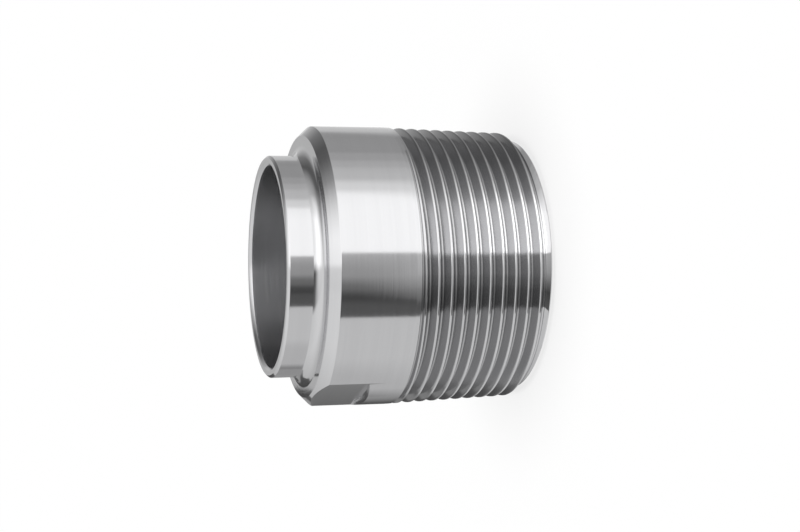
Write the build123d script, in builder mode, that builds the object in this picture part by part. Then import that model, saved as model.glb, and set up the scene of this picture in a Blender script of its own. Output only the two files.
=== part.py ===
"""Sanitary pipe adapter, turned in one piece from stainless bar.

One end is a thin stub that is butt-welded to sanitary tube. The other end is a tapered male
pipe thread. A plain bore runs through both, and two wrench flats are milled on the body.

The adapter stands on its threaded end, with the origin at the middle of that end face and
Z along the bore, up to the weld face. The wrench flats face -Y and +Y.
"""
from build123d import *
import os
from math import atan, cos, degrees, radians, tan

# Sizes are in millimetres
inch = 25.4

# Lengths along the axis
overall_length = 44.0
stub_length = 6.0
shoulder_chamfer = 1.6

# Tube stub, bore and body
body_diameter = 48.3
shoulder_step = 5.1
tube_wall = 1.65
stub_fillet = 1.85
weld_outer_break = 0.4
weld_inner_break = 0.5
thread_bore_break = 0.6

# Tapered pipe thread: 11.5 threads to the inch, 60 degree form, 1 in 16 on the diameter,
# with flat crests and sharp roots
threads_per_inch = 11.5
thread_angle = 60.0
diameter_taper = 1 / 16
crest_above_pitch_line = 0.71
full_turns = 10
runout_turns = 0.92
runout_overlap_turns = 0.01
runout_lift = 0.02
first_root_height = -0.62
end_chamfer_below_root = 0.08
tool_clearance = 0.3

# Wrench flats: how deep they are cut, and how far they reach from the weld face
flat_depth = 1.15
flat_reach = 15.0
flat_cutter_radius = 50.0
flat_wall_lean = 12.0

# Values that follow from the ones above
body_radius = body_diameter / 2
tube_radius = body_radius - shoulder_step
bore_radius = tube_radius - tube_wall
shoulder_height = overall_length - stub_length
pitch = inch / threads_per_inch
flank_slope = tan(radians(thread_angle / 2))
root_below_pitch_line = pitch / 4 / flank_slope
thread_depth = crest_above_pitch_line + root_below_pitch_line
radius_taper = diameter_taper / 2
thread_top = first_root_height + (full_turns + 1) * pitch
end_crest_radius = body_radius - thread_top * radius_taper
end_root_radius = end_crest_radius - thread_depth
end_face_radius = end_root_radius - end_chamfer_below_root
end_chamfer = (end_crest_radius - end_face_radius) / (1 - radius_taper)
fillet_foot = (tube_radius + stub_fillet, shoulder_height)
fillet_top = (tube_radius, shoulder_height + stub_fillet)


def cut_groove(root_height, turns, radius_gain, lift=0.0):
    """Cut the thread groove up from a height at the +X side, for some turns.

    The root starts at its full depth for that height, less a lift, and its radius grows by
    radius_gain along the way.
    """
    root_radius = end_root_radius + root_height * radius_taper + lift
    rise = turns * pitch
    cone_angle = degrees(atan(radius_gain / rise))
    with BuildLine() as groove_path:
        Helix(
            pitch=pitch / cos(radians(cone_angle)),
            height=rise,
            radius=root_radius,
            center=(0, 0, root_height),
            cone_angle=cone_angle,
        )
    tool_depth = thread_depth + tool_clearance
    half_mouth = tool_depth * flank_slope
    with BuildSketch(Plane.XZ) as groove_profile:
        with BuildLine():
            Polyline(
                (root_radius, root_height),
                (root_radius + tool_depth, root_height - half_mouth),
                (root_radius + tool_depth, root_height + half_mouth),
                close=True,
            )
        make_face()
    sweep(groove_profile.sketch, path=groove_path.line, is_frenet=True, mode=Mode.SUBTRACT)


with BuildPart() as adapter:
    # Turned blank with its bore: end chamfer, thread cone, body, shoulder and stub.
    # Its seam is at the +Y side, away from the groove's start at the +X side.
    with BuildSketch(Plane.YZ):
        with BuildLine():
            Polyline(
                (bore_radius, thread_bore_break),
                (bore_radius + thread_bore_break, 0),
                (end_face_radius, 0),
                (end_face_radius + end_chamfer, end_chamfer),
                (body_radius, thread_top),
                (body_radius, shoulder_height - shoulder_chamfer),
                (body_radius - shoulder_chamfer, shoulder_height),
                fillet_foot,
            )
            RadiusArc(fillet_foot, fillet_top, stub_fillet)
            Polyline(
                fillet_top,
                (tube_radius, overall_length - weld_outer_break),
                (tube_radius - weld_outer_break, overall_length),
                (bore_radius + weld_inner_break, overall_length),
                (bore_radius, overall_length - weld_inner_break),
                (bore_radius, thread_bore_break),
            )
        make_face()
    revolve(axis=Axis.Z)

    # Wrench flats: a face mill comes in square to each flat and leaves a curved, leaning end wall
    for flat_normal in ((0, -1, 0), (0, 1, 0)):
        cutter_height = overall_length - flat_reach + flat_cutter_radius
        flat_plane = Plane(
            origin=(0, flat_normal[1] * (body_radius - flat_depth), cutter_height),
            x_dir=(1, 0, 0),
            z_dir=flat_normal,
        )
        with BuildSketch(flat_plane):
            Circle(flat_cutter_radius)
        extrude(amount=body_radius, taper=-flat_wall_lean, mode=Mode.SUBTRACT)

    # Thread groove at full depth, then drawing out of the metal over its last turn.
    # The run-out starts a hair shallower, inside the end of the full groove.
    deep_turns = full_turns + runout_overlap_turns
    cut_groove(first_root_height, deep_turns, deep_turns * pitch * radius_taper)
    runout_start = first_root_height + full_turns * pitch
    runout_gain = thread_depth + tool_clearance
    cut_groove(runout_start, runout_turns, runout_gain, lift=runout_lift)

adapter.part.label = "adapter"
os.makedirs("parts", exist_ok=True)
export_step(adapter.part, "parts/adapter.step")
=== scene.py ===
# A turned stainless pipe adapter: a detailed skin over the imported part, its steel and its stage
from math import cos, pi, radians, sin, tan

import bpy
from bpy.props import FloatProperty, FloatVectorProperty, IntProperty, PointerProperty
from bpy.types import Operator, Panel, PropertyGroup
from mathutils import Matrix, Vector


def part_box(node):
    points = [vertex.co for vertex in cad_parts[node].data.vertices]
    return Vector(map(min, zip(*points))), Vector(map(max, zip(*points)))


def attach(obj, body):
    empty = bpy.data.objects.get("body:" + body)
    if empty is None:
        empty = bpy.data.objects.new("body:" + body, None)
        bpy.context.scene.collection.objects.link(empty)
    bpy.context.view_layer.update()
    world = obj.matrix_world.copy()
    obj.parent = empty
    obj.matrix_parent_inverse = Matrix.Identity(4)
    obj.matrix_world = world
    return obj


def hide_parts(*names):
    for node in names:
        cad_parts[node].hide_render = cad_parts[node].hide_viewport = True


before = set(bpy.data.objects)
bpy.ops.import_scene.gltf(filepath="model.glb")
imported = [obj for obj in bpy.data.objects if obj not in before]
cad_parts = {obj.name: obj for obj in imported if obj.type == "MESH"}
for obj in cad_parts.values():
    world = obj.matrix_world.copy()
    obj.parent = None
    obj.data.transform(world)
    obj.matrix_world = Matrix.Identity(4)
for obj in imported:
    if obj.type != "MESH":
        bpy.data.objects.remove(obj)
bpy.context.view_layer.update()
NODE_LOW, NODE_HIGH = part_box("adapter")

bl_info = {
    "name": "Turned Pipe Adapter",
    "version": (1, 0, 0),
    "blender": (4, 5, 0),
    "location": "3D View > Sidebar > Adapter",
    "description": "Builds a turned stainless pipe adapter with a tapered thread, and its stage",
    "category": "Object",
}

PIECE = "turned_adapter"


# Sizes and finish


def metres(name, description, default):
    return FloatProperty(
        name=name, description=description, default=default, unit="LENGTH", precision=5
    )


def angle(name, description, degrees):
    return FloatProperty(
        name=name, description=description, default=radians(degrees), subtype="ANGLE"
    )


def share(name, description, default):
    return FloatProperty(
        name=name, description=description, default=default, subtype="FACTOR", min=0, max=1
    )


class TurnedSizes(PropertyGroup):
    overall: metres(
        "Overall length", "From the threaded end face to the weld face", NODE_HIGH.z - NODE_LOW.z
    )
    body_radius: metres("Body radius", "Outside of the plain body", NODE_HIGH.x)
    shoulder_step: metres("Shoulder step", "From the stub's outside out to the body", 0.0051)
    tube_wall: metres("Tube wall", "Thickness of the weld stub", 0.00165)
    stub_length: metres("Stub length", "From the shoulder face to the weld face", 0.006)
    stub_fillet: metres("Stub fillet", "Radius where the stub meets the shoulder", 0.00185)
    shoulder_chamfer: metres("Shoulder chamfer", "Bevel on the shoulder's outer edge", 0.0016)
    weld_outer_break: metres("Weld outer break", "Broken edge outside the weld face", 0.0004)
    weld_inner_break: metres("Weld inner break", "Broken edge inside the weld face", 0.0005)
    thread_bore_break: metres("Thread bore break", "Broken edge inside the threaded end", 0.0006)
    edge_round: metres("Edge rounding", "How far each turned corner is rounded over", 0.00005)
    turn_steps: IntProperty(
        name="Steps per turn", description="Facets round the axis", default=240, min=48
    )


class ThreadSizes(PropertyGroup):
    pitch: metres("Pitch", "From crest to crest", 0.0254 / 11.5)
    flank: angle("Flank angle", "Between a flank and a plane across the axis", 30)
    taper: FloatProperty(
        name="Taper", description="Growth of the radius along the axis", default=1 / 32
    )
    cone_top: metres("Cone top", "Height where the thread's cone meets the body", 0.02394)
    depth: metres("Depth", "From the crest to the sharp root", 0.001666)
    root_flat: metres("Root flat", "Width of the groove's flat bottom", 0.00024)
    crest_ease: metres("Crest easing", "How far the crest's edges are eased over", 0.00008)
    root_height: metres("Root height", "Height of the first root at the +X side", -0.00062)
    end_radius: metres("End radius", "Outside of the flat threaded end face", 0.02166)
    pilot_radius: metres("Pilot radius", "Outside of the plain band before the first crest", 0.0221)
    pilot_length: metres(
        "Pilot length", "From the threaded end to where the first crest rises", 0.00145
    )
    full_turns: IntProperty(
        name="Full turns", description="Turns of groove at full depth", default=10
    )
    runout_start: angle("Run-out start", "Side where the tool starts to draw out", 72)
    runout_sweep: angle("Run-out sweep", "Angle over which the tool draws out", 330)
    runout_rise: share("Run-out rise", "Share of the pitch that the tool still rises", 0.6)


class FlatSizes(PropertyGroup):
    depth: metres("Flat depth", "How deep each wrench flat is cut", 0.00115)
    reach: metres("Flat reach", "From the weld face to the end of the flat", 0.015)
    cutter_radius: metres("Cutter radius", "Radius of the milled end wall", 0.05)
    wall_lean: angle("Wall lean", "Lean of the milled end wall", 12)


class SteelFinish(PropertyGroup):
    colour: FloatVectorProperty(
        name="Colour",
        description="Polished steel",
        subtype="COLOR",
        size=3,
        min=0,
        max=1,
        default=(0.66, 0.66, 0.67),
    )
    roughness: share("Roughness", "Of the polished outside", 0.12)
    cut_roughness: share("Cut roughness", "Of the cut thread", 0.16)
    bore_roughness: share("Bore roughness", "Of the bore", 0.23)
    # Painted shade: how far the cut thread's base colour is darkened, and how much of that darkening
    # the bore takes
    cut_painted_shade: share("Cut tone", "Tone of the cut thread, where the outside's is 1", 0.7)
    bore_painted_shade: share("Bore dulling", "How much of the thread's darker tone the bore has", 0.5)
    brushing: share("Brushing", "How much the turning spreads a reflection", 0.6)
    mark_depth: share("Mark depth", "Strength of the tool marks", 0.8)


def all_sizes():
    scene = bpy.context.scene
    return scene.turned_sizes, scene.thread_sizes, scene.flat_sizes


# Modelling

# How many segments round a turned corner and the stub's fillet, and how full the fillet's curve is
CORNER_SEGMENTS = 3
FILLET_SEGMENTS = 14
FILLET_FULLNESS = 0.46

# Sides of the flats' cutter
CUTTER_SIDES = 720

# Sides of the thread tool near the crest, in crest easings: how far below the crest, and how far they
# flare out. Past the crest the tool goes on by a margin, and flares a little more.
WELD_FLARE = ((3, 0), (1.5, 0.12), (0.55, 0.4), (0, 0.8))
END_FLARE = ((0.3, 0), (0, 0.3))
PAST_CREST = 0.0004
LAST_FLARE = 0.1

# The tool goes on beyond the run-out's sweep by one part in this many, until it is out of the metal
OVERRUN_PARTS = 7

# Largest angle between faces that are shaded as one surface
SMOOTH_ANGLE = radians(24)


def deselect():
    """Leave edit mode and deselect every object."""
    if bpy.context.object and bpy.context.object.mode != "OBJECT":
        bpy.ops.object.mode_set(mode="OBJECT")
    bpy.ops.object.select_all(action="DESELECT")


def activate(piece):
    """Leave just this piece selected and active, in object mode."""
    deselect()
    piece.select_set(True)
    bpy.context.view_layer.objects.active = piece


def pick(test):
    """Select the vertices of the edited piece whose place passes a test."""
    bpy.ops.mesh.select_all(action="DESELECT")
    bpy.ops.object.mode_set(mode="OBJECT")
    for vertex in bpy.context.object.data.vertices:
        vertex.select = test(vertex.co)
    bpy.ops.object.mode_set(mode="EDIT")


def near(point):
    """A test for the vertices at one point."""
    spot = Vector(point)
    return lambda co: (co - spot).length < 1e-6


def draw_outline(name, corners):
    """Draw a closed outline in the XZ plane, from corner to corner, starting with one vertex."""
    deselect()
    bpy.ops.mesh.primitive_plane_add(size=0.001)
    outline = bpy.context.object
    outline.name = name
    bpy.ops.object.mode_set(mode="EDIT")
    bpy.ops.mesh.select_mode(type="VERT")
    bpy.ops.mesh.select_all(action="SELECT")
    bpy.ops.mesh.merge(type="CENTER")
    bpy.ops.transform.translate(value=(corners[0][0], 0, corners[0][1]))
    for (r0, z0), (r1, z1) in zip(corners, corners[1:]):
        stroke = {"value": (r1 - r0, 0, z1 - z0)}
        bpy.ops.mesh.extrude_region_move(TRANSFORM_OT_translate=stroke)
    ends = [near((r, 0, z)) for r, z in (corners[0], corners[-1])]
    pick(lambda co: ends[0](co) or ends[1](co))
    bpy.ops.mesh.edge_face_add()
    return outline


def round_corners(corners, reach, segments, fullness=0.5):
    """Round the drawn outline at these corners."""
    tests = [near((r, 0, z)) for r, z in corners]
    pick(lambda co: any(test(co) for test in tests))
    bpy.ops.mesh.bevel(affect="VERTICES", offset=reach, segments=segments, profile=fullness)


def close_surface(threshold=1e-7):
    """Merge doubles, turn every face outwards and leave edit mode."""
    bpy.ops.mesh.select_all(action="SELECT")
    bpy.ops.mesh.remove_doubles(threshold=threshold)
    bpy.ops.mesh.normals_make_consistent(inside=False)
    bpy.ops.object.mode_set(mode="OBJECT")


def apply_modifier(piece, kind, **settings):
    activate(piece)
    modifier = piece.modifiers.new(kind.title(), kind)
    for key, value in settings.items():
        setattr(modifier, key, value)
    bpy.ops.object.modifier_apply(modifier=modifier.name)


def cut_away(piece, tool):
    """Cut a tool's shape out of the piece, and put the tool away."""
    apply_modifier(piece, "BOOLEAN", operation="DIFFERENCE", object=tool, solver="MANIFOLD")
    bpy.data.objects.remove(tool, do_unlink=True)


class ADAPTER_OT_turn_blank(Operator):
    """Turn the blank: draw its half section, round the corners and spin it round the axis"""

    bl_idname = "adapter.turn_blank"
    bl_label = "Turn Blank"

    def execute(self, context):
        size, thread, _ = all_sizes()
        tube = size.body_radius - size.shoulder_step
        bore = tube - size.tube_wall
        shoulder = size.overall - size.stub_length
        crest = size.body_radius - (thread.cone_top - thread.pilot_length) * thread.taper
        rise = (crest - thread.pilot_radius) / (1 / tan(thread.flank) - thread.taper)
        thread_end = [
            (bore, size.thread_bore_break),
            (bore + size.thread_bore_break, 0),
            (thread.end_radius, 0),
            (thread.pilot_radius, thread.pilot_radius - thread.end_radius),
            (thread.pilot_radius, thread.pilot_length),
            (crest + rise * thread.taper, thread.pilot_length + rise),
        ]
        body = [
            (size.body_radius, shoulder - size.shoulder_chamfer),
            (size.body_radius - size.shoulder_chamfer, shoulder),
        ]
        weld_face = [
            (tube, size.overall - size.weld_outer_break),
            (tube - size.weld_outer_break, size.overall),
            (bore + size.weld_inner_break, size.overall),
            (bore, size.overall - size.weld_inner_break),
        ]
        stub_foot = (tube, shoulder)
        # A point on each side of where the thread's cone ends keeps that edge narrow
        beside = 2 * size.edge_round
        cone_end = [
            (size.body_radius - beside * thread.taper, thread.cone_top - beside),
            (size.body_radius, thread.cone_top + beside),
        ]
        draw_outline(PIECE, thread_end + cone_end + body + [stub_foot] + weld_face)
        round_corners(thread_end + body + weld_face, size.edge_round, CORNER_SEGMENTS)
        round_corners([stub_foot], size.stub_fillet, FILLET_SEGMENTS, FILLET_FULLNESS)
        bpy.ops.mesh.select_all(action="SELECT")
        bpy.ops.mesh.spin(
            steps=size.turn_steps, angle=2 * pi, center=(0, 0, 0), axis=(0, 0, 1)
        )
        close_surface()
        return {"FINISHED"}


class ADAPTER_OT_mill_flats(Operator):
    """Mill the two wrench flats with a wide cutter that leaves a curved, leaning end wall"""

    bl_idname = "adapter.mill_flats"
    bl_label = "Mill Flats"

    def execute(self, context):
        size, _, flat = all_sizes()
        height = size.overall - flat.reach + flat.cutter_radius
        travel = 3 * flat.depth
        for side in (-1, 1):
            deselect()
            bpy.ops.mesh.primitive_cone_add(
                vertices=CUTTER_SIDES,
                radius1=flat.cutter_radius,
                radius2=flat.cutter_radius + travel * tan(flat.wall_lean),
                depth=travel,
                location=(0, side * (size.body_radius - flat.depth + travel / 2), height),
                rotation=(-side * pi / 2, 0, 0),
            )
            bpy.ops.object.transform_apply(location=True, rotation=True, scale=True)
            cut_away(bpy.data.objects[PIECE], bpy.context.object)
        return {"FINISHED"}


class ADAPTER_OT_cut_thread(Operator):
    """Cut the tapered thread with a flat-tipped V tool that draws out of the metal at the end"""

    bl_idname = "adapter.cut_thread"
    bl_label = "Cut Thread"

    def execute(self, context):
        size, thread, _ = all_sizes()
        step = 2 * pi / size.turn_steps
        start_steps = round(thread.runout_start / step)
        draw_steps = round(thread.runout_sweep / step)
        turned_so_far = thread.full_turns + start_steps * step / (2 * pi)
        runout_z = thread.root_height + thread.pitch * turned_so_far
        # One turn more than the full ones, to start in the air below the end face
        turns = thread.full_turns + 1
        full = self.draw_tool("thread_tool", runout_z - thread.pitch * turns)
        apply_modifier(
            full,
            "SCREW",
            axis="Z",
            angle=2 * pi * turns,
            screw_offset=thread.pitch * turns,
            steps=size.turn_steps * turns,
            render_steps=size.turn_steps * turns,
            use_smooth_shade=False,
        )
        # The run-out: step by step, the tool goes round, rises less and draws out
        runout = self.draw_tool("runout_tool", runout_z)
        rise = thread.pitch * thread.runout_rise / size.turn_steps
        lift = (thread.depth - thread.root_flat / 2 / tan(thread.flank)) / draw_steps
        bpy.ops.mesh.select_all(action="SELECT")
        for turned in range(draw_steps + draw_steps // OVERRUN_PARTS):
            around = turned * step
            draw = {"value": (lift * cos(around), lift * sin(around), rise)}
            bpy.ops.mesh.extrude_region_move(TRANSFORM_OT_translate=draw)
            bpy.ops.transform.rotate(value=-step, orient_axis="Z", center_override=(0, 0, 0))
        activate(full)
        runout.select_set(True)
        bpy.ops.object.join()
        bpy.ops.object.mode_set(mode="EDIT")
        bpy.ops.mesh.select_all(action="SELECT")
        bpy.ops.mesh.remove_doubles(threshold=1e-6)
        bpy.ops.mesh.select_all(action="DESELECT")
        bpy.ops.mesh.select_non_manifold()
        bpy.ops.mesh.edge_face_add()
        bpy.ops.mesh.select_all(action="SELECT")
        bpy.ops.transform.rotate(
            value=-start_steps * step, orient_axis="Z", center_override=(0, 0, 0)
        )
        close_surface()
        # The tool was drawn for the threaded end: the taper spreads it out to the cone
        heights = [vertex.co.z for vertex in full.data.vertices]
        taper = (max(heights) - min(heights)) * thread.taper / size.body_radius
        apply_modifier(
            full, "SIMPLE_DEFORM", deform_method="TAPER", deform_axis="Z", factor=taper
        )
        cut_away(bpy.data.objects[PIECE], full)
        return {"FINISHED"}

    def draw_tool(self, name, root_z):
        """Draw the tool at the threaded end: a flat tip, and sides that flare to ease the crests."""
        size, thread, _ = all_sizes()
        slope = tan(thread.flank)
        ease = thread.crest_ease
        crest = size.body_radius - thread.cone_top * thread.taper
        root = crest - thread.depth

        def side(flare):
            """From the tip past the crest: radius, and distance across from the tool's middle."""
            points = [(root + thread.root_flat / 2 / slope, thread.root_flat / 2)]
            for down, out in flare:
                below = ease * down
                points.append((crest - below, (thread.depth - below) * slope + ease * out))
            points.append((crest + PAST_CREST, points[-1][1] + ease * LAST_FLARE))
            return points

        upper = [(r, root_z + across) for r, across in side(END_FLARE)]
        lower = [(r, root_z - across) for r, across in side(WELD_FLARE)]
        return draw_outline(name, upper + lower[::-1])


class ADAPTER_OT_finish_skin(Operator):
    """Clean the cut surface, smooth it between its sharp edges and give it its steel"""

    bl_idname = "adapter.finish_skin"
    bl_label = "Finish Skin"

    def execute(self, context):
        piece = bpy.data.objects[PIECE]
        activate(piece)
        bpy.ops.object.mode_set(mode="EDIT")
        close_surface(2e-6)
        bpy.ops.object.shade_smooth_by_angle(angle=SMOOTH_ANGLE)
        apply_modifier(piece, "WEIGHTED_NORMAL", mode="FACE_AREA", weight=50, keep_sharp=True)
        piece.data.materials.clear()
        piece.data.materials.append(make_steel())
        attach(piece, "root")
        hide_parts("adapter")
        return {"FINISHED"}


# Steel

# Marks to the metre: fine and coarse turning marks, a slow wave of tone, and milling arcs
FINE_MARKS = 9000
COARSE_MARKS = 2200
TONE_WAVE = 420
MILLING_MARKS = 3500
FINE_SHARE = 0.35

# How far the rings wander on their way round, how often, and how deep a mark is
RING_DRIFT = 0.0006
DRIFT_RATE = 60
MARK_HEIGHT = 0.00001

# Smudges to the metre, and how far the tone goes down and up with the marks
SMUDGES = 130
TONE_SWING = 0.025

# How far below the crests' cone a face counts as cut, and how near the bore's wall as bored
CUT_BELOW = 0.00006
BORE_MARGIN = 0.0002

# How near a flat's plane a face counts as milled, and how far past the flat's end
FLAT_MARGIN = 0.00002
FLAT_OVERREACH = 0.001

# A quarter turn: brushing that runs round the axis spreads a reflection along it
BRUSH_TURN = 0.25


def node(tree, kind, **settings):
    """Add a node; settings name its properties."""
    made = tree.nodes.new(kind)
    for key, value in settings.items():
        setattr(made, key, value)
    return made


def feed(tree, source, target):
    """Put a value or another node's output into a socket."""
    if isinstance(source, (int, float, tuple)):
        target.default_value = source
    else:
        tree.links.new(source, target)


def reckon(tree, operation, first, second=0.0, third=0.0):
    made = node(tree, "ShaderNodeMath", operation=operation)
    for value, socket in zip((first, second, third), made.inputs):
        feed(tree, value, socket)
    return made.outputs[0]


def ramp(tree, value, low, high, new_low=0.0, new_high=1.0):
    made = node(tree, "ShaderNodeMapRange")
    for socket, part in zip(made.inputs, (value, low, high, new_low, new_high)):
        feed(tree, part, socket)
    return made.outputs[0]


def grain(tree, place, scale, detail=2.0, roughness=0.5):
    made = node(tree, "ShaderNodeTexNoise")
    tree.links.new(place, made.inputs["Vector"])
    made.inputs["Scale"].default_value = scale
    made.inputs["Detail"].default_value = detail
    made.inputs["Roughness"].default_value = roughness
    return made.outputs["Fac"]


def hypotenuse(tree, first, second):
    """How far a point is from an axis, from its two distances across the axis."""
    squares = [reckon(tree, "MULTIPLY", leg, leg) for leg in (first, second)]
    return reckon(tree, "SQRT", reckon(tree, "ADD", *squares))


def triple(tree, x, y, z):
    made = node(tree, "ShaderNodeCombineXYZ")
    for value, socket in zip((x, y, z), made.inputs):
        feed(tree, value, socket)
    return made.outputs[0]


def make_steel():
    """Polished steel with fine turning marks round the axis, milling arcs on the wrench flats, and
    painted shade: a darker base colour in the cut thread and the bore.
    """
    finish = bpy.context.scene.steel_finish
    size, thread, flat = all_sizes()
    steel = bpy.data.materials.new("turned_steel")
    steel.use_nodes = True
    tree = steel.node_tree
    shader = tree.nodes["Principled BSDF"]
    place = node(tree, "ShaderNodeTexCoord").outputs["Object"]
    apart = node(tree, "ShaderNodeSeparateXYZ")
    tree.links.new(place, apart.inputs[0])
    x, y, z = apart.outputs
    radius = hypotenuse(tree, x, y)
    # Rings: the same all the way round, but for a slow drift
    drift = reckon(tree, "MULTIPLY", grain(tree, place, DRIFT_RATE, 1), RING_DRIFT)
    rings = triple(tree, radius, drift, z)
    fine = grain(tree, rings, FINE_MARKS, 1)
    coarse = grain(tree, rings, COARSE_MARKS, 2)
    wave = grain(tree, rings, TONE_WAVE, 1)
    fine_part = reckon(tree, "MULTIPLY", fine, FINE_SHARE)
    coarse_part = reckon(tree, "MULTIPLY", coarse, 1 - FINE_SHARE)
    turned = reckon(tree, "ADD", fine_part, coarse_part)
    # Milling arcs round the cutter's centre, on the flats alone
    flat_end = size.overall - flat.reach
    up = reckon(tree, "SUBTRACT", z, flat_end + flat.cutter_radius)
    milled = grain(tree, triple(tree, hypotenuse(tree, x, up), 0.0, 0.0), MILLING_MARKS, 2)
    plane = size.body_radius - flat.depth
    in_plane = reckon(tree, "COMPARE", reckon(tree, "ABSOLUTE", y), plane, FLAT_MARGIN)
    in_reach = reckon(tree, "GREATER_THAN", z, flat_end - FLAT_OVERREACH)
    marks = node(tree, "ShaderNodeMix", data_type="FLOAT")
    feed(tree, reckon(tree, "MULTIPLY", in_plane, in_reach), marks.inputs[0])
    feed(tree, turned, marks.inputs[2])
    feed(tree, milled, marks.inputs[3])
    bump = node(tree, "ShaderNodeBump")
    bump.inputs["Strength"].default_value = finish.mark_depth
    bump.inputs["Distance"].default_value = MARK_HEIGHT
    tree.links.new(marks.outputs[0], bump.inputs["Height"])
    tree.links.new(bump.outputs[0], shader.inputs["Normal"])
    # The cut thread is less polished than the outside, and the bore less still
    cone = size.body_radius - thread.cone_top * thread.taper
    below = reckon(tree, "SUBTRACT", reckon(tree, "MULTIPLY_ADD", z, thread.taper, cone), radius)
    deep = reckon(tree, "GREATER_THAN", below, CUT_BELOW)
    middle = (thread.cone_top + thread.pilot_length) / 2
    half = (thread.cone_top - thread.pilot_length) / 2
    threaded = reckon(tree, "COMPARE", z, middle, half)
    bore = size.body_radius - size.shoulder_step - size.tube_wall
    bored = reckon(tree, "LESS_THAN", radius, bore + BORE_MARGIN)
    cut = reckon(tree, "MULTIPLY", deep, reckon(tree, "SUBTRACT", threaded, bored))
    polish = ramp(tree, cut, 0, 1, finish.roughness, finish.cut_roughness)
    rougher = finish.bore_roughness - finish.roughness
    polish = reckon(tree, "MULTIPLY_ADD", bored, rougher, polish)
    # Smudges and marks vary the polish a little, and the marks the tone
    smudge = ramp(tree, grain(tree, place, SMUDGES, 3, 0.6), 0.35, 0.75, -0.01, 0.02)
    worn = ramp(tree, coarse, 0.3, 0.7, -0.015, 0.02)
    dull = reckon(tree, "ADD", smudge, worn)
    tree.links.new(reckon(tree, "ADD", dull, polish), shader.inputs["Roughness"])
    tone = node(tree, "ShaderNodeMix", data_type="RGBA")
    feed(tree, ramp(tree, reckon(tree, "ADD", marks.outputs[0], wave), 0.7, 1.3), tone.inputs[0])
    for socket, swing in ((6, 1 - TONE_SWING), (7, 1 + TONE_SWING)):
        varied = [min(1, channel * swing) for channel in finish.colour]
        tone.inputs[socket].default_value = (*varied, 1)
    # Painted shade: the cut thread's grooves and the bore get a darker base colour, which stands in
    # for the light lost between the flanks and inside the bore
    darker = node(tree, "ShaderNodeMix", data_type="RGBA", blend_type="MULTIPLY")
    feed(tree, reckon(tree, "MULTIPLY_ADD", bored, finish.bore_painted_shade, cut), darker.inputs[0])
    tree.links.new(tone.outputs[2], darker.inputs[6])
    darker.inputs[7].default_value = (finish.cut_painted_shade, finish.cut_painted_shade, finish.cut_painted_shade, 1)
    tree.links.new(darker.outputs[2], shader.inputs["Base Color"])
    shader.inputs["Metallic"].default_value = 1
    shader.inputs["Anisotropic"].default_value = finish.brushing
    shader.inputs["Anisotropic Rotation"].default_value = BRUSH_TURN
    round_axis = node(tree, "ShaderNodeTangent", direction_type="RADIAL", axis="Z")
    tree.links.new(round_axis.outputs[0], shader.inputs["Tangent"])
    return steel


# Stage

# The photograph's camera, fitted to the part's rims and thread crests: its place and its three axes
CAMERA_LENS = 65.961
CAMERA_PLACE = (0.235884, -0.078681, 0.089213)
CAMERA_RIGHT = (0.25038, -0.09469, -0.96351)
CAMERA_UP = (0.31873, 0.94779, -0.01032)
CAMERA_BACK = (0.91418, -0.30452, 0.26748)

# The side of the part that is nearest to the camera: the cards are placed round from here
FRONT = radians(341.5)

# The fan, cards on the floor. Each row is where on the part's side a card's edge shows, in degrees up
# from its nearest line; how bright it is far off and close by; and how far out the close part ends
FAN = (
    (-89, 0.2, 0.3, 0.04),
    (-74, 0.25, 0.7, 0.06),
    (-60, 0.6, 0.7, 0.055),
    (-40, 0.72, 0.8, 0.035),
    (-21, 0.72, 0.75, 0.028),
    (-20.7, 0.12, 0.18, 0.028),
    (-13, 0.07, 0.22, 0.085),
    (-9, 0.18, 0.35, 0.095),
    (-4, 0.4, 0.55, 0.085),
    (4.6, 0.55, 0.7, 0.06),
    (5.4, 1.36, 2.6, 0.03),
    (24, 1.36, 2.2, 0.03),
    (32, 0.95, 1.0, 0.035),
    (36.5, 0.76, 0.7, 0.04),
    (37, 0.68, 0.65, 0.042),
    (43, 0.62, 0.46, 0.05),
    (43.5, 0.56, 0.45, 0.05),
    (47, 0.53, 0.4, 0.055),
    (47.5, 0.47, 0.38, 0.056),
    (52, 0.46, 0.3, 0.062),
    (52.5, 0.4, 0.28, 0.064),
    (66, 0.37, 0.27, 0.068),
    (73, 0.65, 0.35, 0.068),
    (89, 0.8, 0.6, 0.068),
)

# The fan starts under the part with a dim ring, turns to its far brightness at the foot, and then to
# the close one. It lies just above the floor.
RING_STARTS = (-0.0028, -0.0022, -0.002)
RING_BRIGHTNESS = 0.1
FAN_CLOSE = 0.0005
FAN_BLEND = 0.015
FAN_END = 0.95
CARD_LIFT = 0.0003

# A low dark card close behind the part. Each row is degrees round from the camera's side, its
# brightness, the brightness of its paler strip, and its height
LOW_CARD = (
    (-156, 0.07, 0.07, 0.04),
    (-152, 0.07, 0.3, 0.058),
    (-137, 0.1, 0.35, 0.058),
    (-131, 0.12, 0.35, 0.045),
    (-114, 0.38, 0.38, 0.042),
)

LOW_CARD_RADIUS = 0.059
LOW_CARD_STRIP = (0.027, 0.029, 0.038, 0.04)

# The dome, cards round about, one metre off. Each row is degrees round from the camera's side, and how
# bright it is low down and high up; the heights are where the low, low, high and overhead levels stand
DOME = (
    (-180, 0.5, 0.45),
    (-150, 0.6, 0.65),
    (-100, 0.8, 0.9),
    (-50, 0.8, 0.9),
    (-40, 0.15, 0.8),
    (-6, 0.1, 0.9),
    (5, 1.2, 1.8),
    (50, 1.15, 1.8),
    (75, 0.65, 1.2),
    (100, 0.4, 0.4),
    (120, 0.12, 0.15),
    (145, 0.25, 0.12),
    (165, 0.6, 0.5),
    (180, 0.5, 0.45),
)
DOME_HEIGHTS = tuple(radians(height) for height in (0, 15, 50, 90))
OVERHEAD = 0.9

# The floor's own glow and its diffuse part make white together
FLOOR_GLOW = 0.74
FLOOR_PAPER = 0.26

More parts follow.
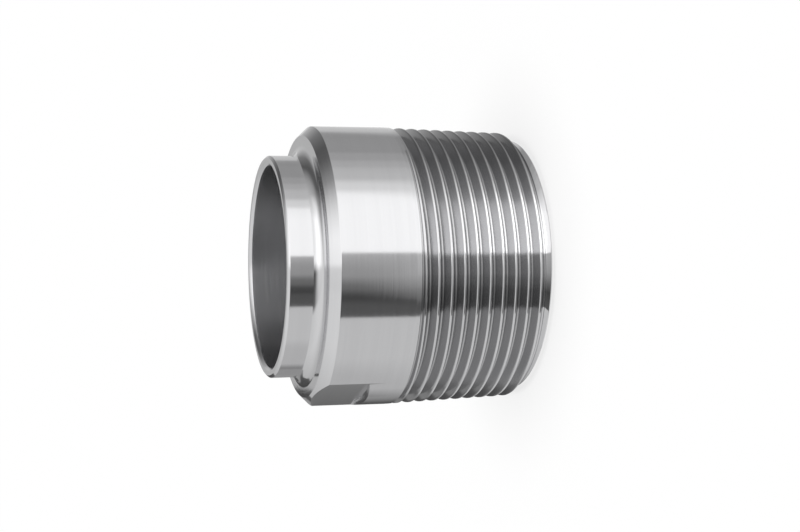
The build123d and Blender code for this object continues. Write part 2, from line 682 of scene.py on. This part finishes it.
# The lamp's strength and spread, and how much light the world gives to what isn't metal
LAMP_STRENGTH = 0.7 * pi
LAMP_SPREAD = radians(50)
WORLD_FILL = 0.3


def make_camera():
    """Set the camera where the photograph was taken from."""
    data = bpy.data.cameras.new("photo_camera")
    data.sensor_width = 36
    data.lens = CAMERA_LENS
    data.clip_start = 0.01
    camera = bpy.data.objects.new("photo_camera", data)
    bpy.context.scene.collection.objects.link(camera)
    turn = Matrix((CAMERA_RIGHT, CAMERA_UP, CAMERA_BACK)).transposed().to_4x4()
    camera.matrix_world = Matrix.Translation(CAMERA_PLACE) @ turn
    bpy.context.scene.camera = camera


def shown_rays(tree):
    """1 for the rays that carry the background: seen directly, in metal or through glass."""
    light = node(tree, "ShaderNodeLightPath")
    seen = reckon(tree, "MAXIMUM", light.outputs["Is Camera Ray"], light.outputs["Is Glossy Ray"])
    return reckon(tree, "MAXIMUM", seen, light.outputs["Is Transmission Ray"])


def make_floor():
    """Make a pale floor: part of its white glows, the rest takes the light and the shadow."""
    deselect()
    bpy.ops.mesh.primitive_plane_add(size=80)
    floor = bpy.context.object
    floor.name = "floor"
    pale = bpy.data.materials.new("pale_floor")
    pale.use_nodes = True
    tree = pale.node_tree
    tree.nodes.clear()
    glow = node(tree, "ShaderNodeEmission")
    feed(tree, reckon(tree, "MULTIPLY", shown_rays(tree), FLOOR_GLOW), glow.inputs["Strength"])
    plain = node(tree, "ShaderNodeBsdfDiffuse")
    plain.inputs["Color"].default_value = (FLOOR_PAPER, FLOOR_PAPER, FLOOR_PAPER, 1)
    both = node(tree, "ShaderNodeAddShader")
    tree.links.new(glow.outputs[0], both.inputs[0])
    tree.links.new(plain.outputs[0], both.inputs[1])
    out = node(tree, "ShaderNodeOutputMaterial")
    tree.links.new(both.outputs[0], out.inputs[0])
    floor.data.materials.append(pale)


def make_card(name, rows, levels):
    """Make a graded card that shows in the steel alone, from rows of points and their brightness."""
    mesh = bpy.data.meshes.new(name)
    width = len(rows[0])
    points = [point for row in rows for point in row]
    faces = [
        (i * width + j, i * width + j + 1, (i + 1) * width + j + 1, (i + 1) * width + j)
        for i in range(len(rows) - 1)
        for j in range(width - 1)
    ]
    mesh.from_pydata(points, [], faces)
    level = mesh.attributes.new("level", "FLOAT", "POINT")
    level.data.foreach_set("value", [value for row in levels for value in row])
    card = bpy.data.objects.new(name, mesh)
    bpy.context.scene.collection.objects.link(card)
    glow = bpy.data.materials.new(name)
    glow.use_nodes = True
    tree = glow.node_tree
    tree.nodes.clear()
    light = node(tree, "ShaderNodeEmission")
    bright = node(tree, "ShaderNodeAttribute", attribute_name="level")
    tree.links.new(bright.outputs["Fac"], light.inputs["Strength"])
    out = node(tree, "ShaderNodeOutputMaterial")
    tree.links.new(light.outputs[0], out.inputs[0])
    mesh.materials.append(glow)
    for kind in ("camera", "diffuse", "transmission", "volume_scatter", "shadow"):
        setattr(card, "visible_" + kind, False)


def make_fan():
    """Make the cards on the floor, spread like a fan from the part's foot."""
    foot = bpy.context.scene.turned_sizes.body_radius
    rows, levels = [], []
    for side, far, close, reach in FAN:
        around = FRONT + radians(side)
        out = FRONT + 2 * radians(side)
        row = []
        for along in RING_STARTS:
            row.append(((foot + along) * cos(around), (foot + along) * sin(around), CARD_LIFT))
        for along in (0.0, FAN_CLOSE, reach, reach + FAN_BLEND, FAN_END):
            x = foot * cos(around) + along * cos(out)
            y = foot * sin(around) + along * sin(out)
            row.append((x, y, CARD_LIFT))
        rows.append(row)
        levels.append((RING_BRIGHTNESS, RING_BRIGHTNESS, far, far, close, close, far, far))
    make_card("floor_cards", rows, levels)


def make_low_card():
    """Make the low dark card close behind the part."""
    rows, levels = [], []
    for degrees, dark, pale, top in LOW_CARD:
        around = FRONT + radians(degrees)
        x = LOW_CARD_RADIUS * cos(around)
        y = LOW_CARD_RADIUS * sin(around)
        rows.append([(x, y, z) for z in (CARD_LIFT, *LOW_CARD_STRIP, top)])
        levels.append((dark, dark, pale, pale, dark, dark))
    make_card("low_card", rows, levels)


def make_dome():
    """Make the cards round about, and the roof that closes them."""
    rows, levels = [], []
    for degrees, low, high in DOME:
        around = FRONT + radians(degrees)
        row = []
        for height in DOME_HEIGHTS:
            row.append((cos(height) * cos(around), cos(height) * sin(around), sin(height)))
        rows.append(row)
        levels.append((low, low, high, OVERHEAD))
    make_card("dome_cards", rows, levels)


class ADAPTER_OT_set_stage(Operator):
    """Set the pale floor, the soft studio light and the camera"""

    bl_idname = "adapter.set_stage"
    bl_label = "Set Stage"

    def execute(self, context):
        scene = context.scene
        scene.view_settings.view_transform = "Standard"
        make_camera()
        make_floor()
        make_fan()
        make_low_card()
        make_dome()
        lamp = bpy.data.lights.new("softbox", "SUN")
        lamp.angle = LAMP_SPREAD
        lamp.energy = LAMP_STRENGTH
        softbox = bpy.data.objects.new("softbox", lamp)
        softbox.visible_glossy = False
        scene.collection.objects.link(softbox)
        world = bpy.data.worlds.new("studio")
        scene.world = world
        world.use_nodes = True
        tree = world.node_tree
        white = tree.nodes["Background"]
        white.inputs["Color"].default_value = (1, 1, 1, 1)
        feed(tree, ramp(tree, shown_rays(tree), 0, 1, WORLD_FILL, 1.0), white.inputs["Strength"])
        return {"FINISHED"}


class ADAPTER_PT_sidebar(Panel):
    """Lists the sizes, the finish and the steps"""

    bl_label = "Pipe Adapter"
    bl_idname = "ADAPTER_PT_sidebar"
    bl_space_type = "VIEW_3D"
    bl_region_type = "UI"
    bl_category = "Adapter"

    def draw(self, context):
        for key in GROUPS:
            group = getattr(context.scene, key)
            box = self.layout.box()
            for name in group.__annotations__:
                box.prop(group, name)
        for operator in OPERATORS:
            self.layout.operator(operator.bl_idname)


GROUPS = {
    "turned_sizes": TurnedSizes,
    "thread_sizes": ThreadSizes,
    "flat_sizes": FlatSizes,
    "steel_finish": SteelFinish,
}
OPERATORS = (
    ADAPTER_OT_turn_blank,
    ADAPTER_OT_mill_flats,
    ADAPTER_OT_cut_thread,
    ADAPTER_OT_finish_skin,
    ADAPTER_OT_set_stage,
)


def register():
    for cls in (*GROUPS.values(), *OPERATORS, ADAPTER_PT_sidebar):
        bpy.utils.register_class(cls)
    for name, group in GROUPS.items():
        setattr(bpy.types.Scene, name, PointerProperty(type=group))


def unregister():
    for name in GROUPS:
        delattr(bpy.types.Scene, name)
    for cls in (ADAPTER_PT_sidebar, *reversed(OPERATORS), *reversed(GROUPS.values())):
        bpy.utils.unregister_class(cls)


def main():
    """Build the adapter and its stage."""
    register()
    for operator in OPERATORS:
        group, name = operator.bl_idname.split(".")
        getattr(getattr(bpy.ops, group), name)()


if __name__ == "__main__":
    main()
